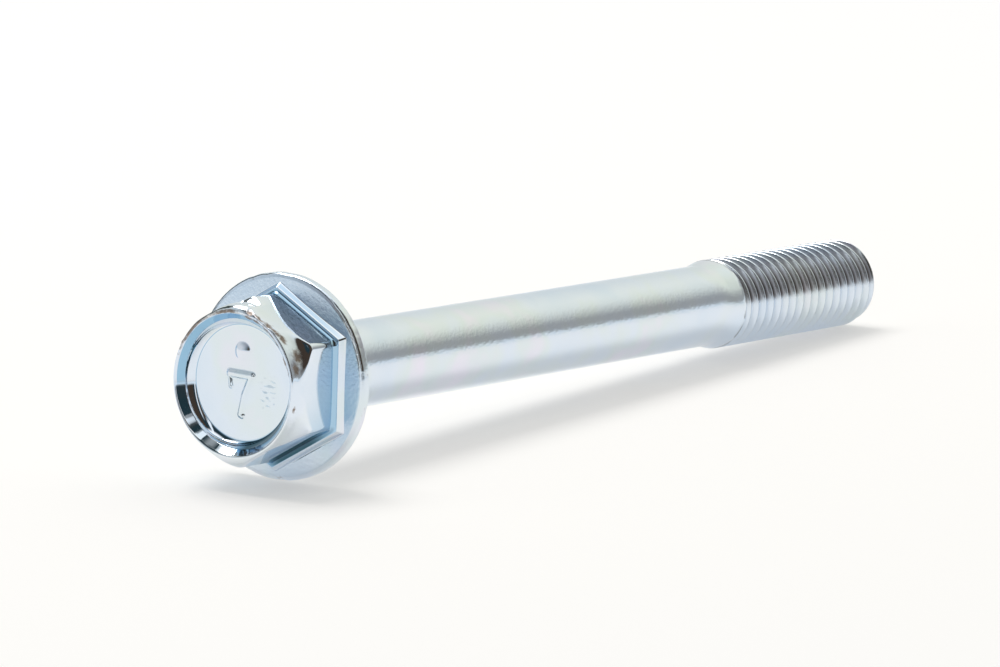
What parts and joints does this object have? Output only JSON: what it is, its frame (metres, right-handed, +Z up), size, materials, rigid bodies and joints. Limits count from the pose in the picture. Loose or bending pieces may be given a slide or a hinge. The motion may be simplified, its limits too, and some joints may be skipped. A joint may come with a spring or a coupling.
{
  "type": "hexagon flange bolt",
  "caption": "Zinc-plated steel hexagon flange bolt with a dished head, a slim plain shank and a short rolled thread, for clamping parts through a deep hole.",
  "frame": {"origin": "centre of the box's bottom, on the surface that the bolt lies on", "axes": "+Y from the head towards the tip, leaning down by 3 degrees, +Z up, +X across the bolt"},
  "size_m": [0.0168, 0.0924, 0.0168],
  "materials": {
    "zinc_plated_steel": "bright zinc plate, clear blue passivated"
  },
  "bodies": {
    "root": {"flange_bolt": "zinc_plated_steel"}
  },
  "joints": []
}
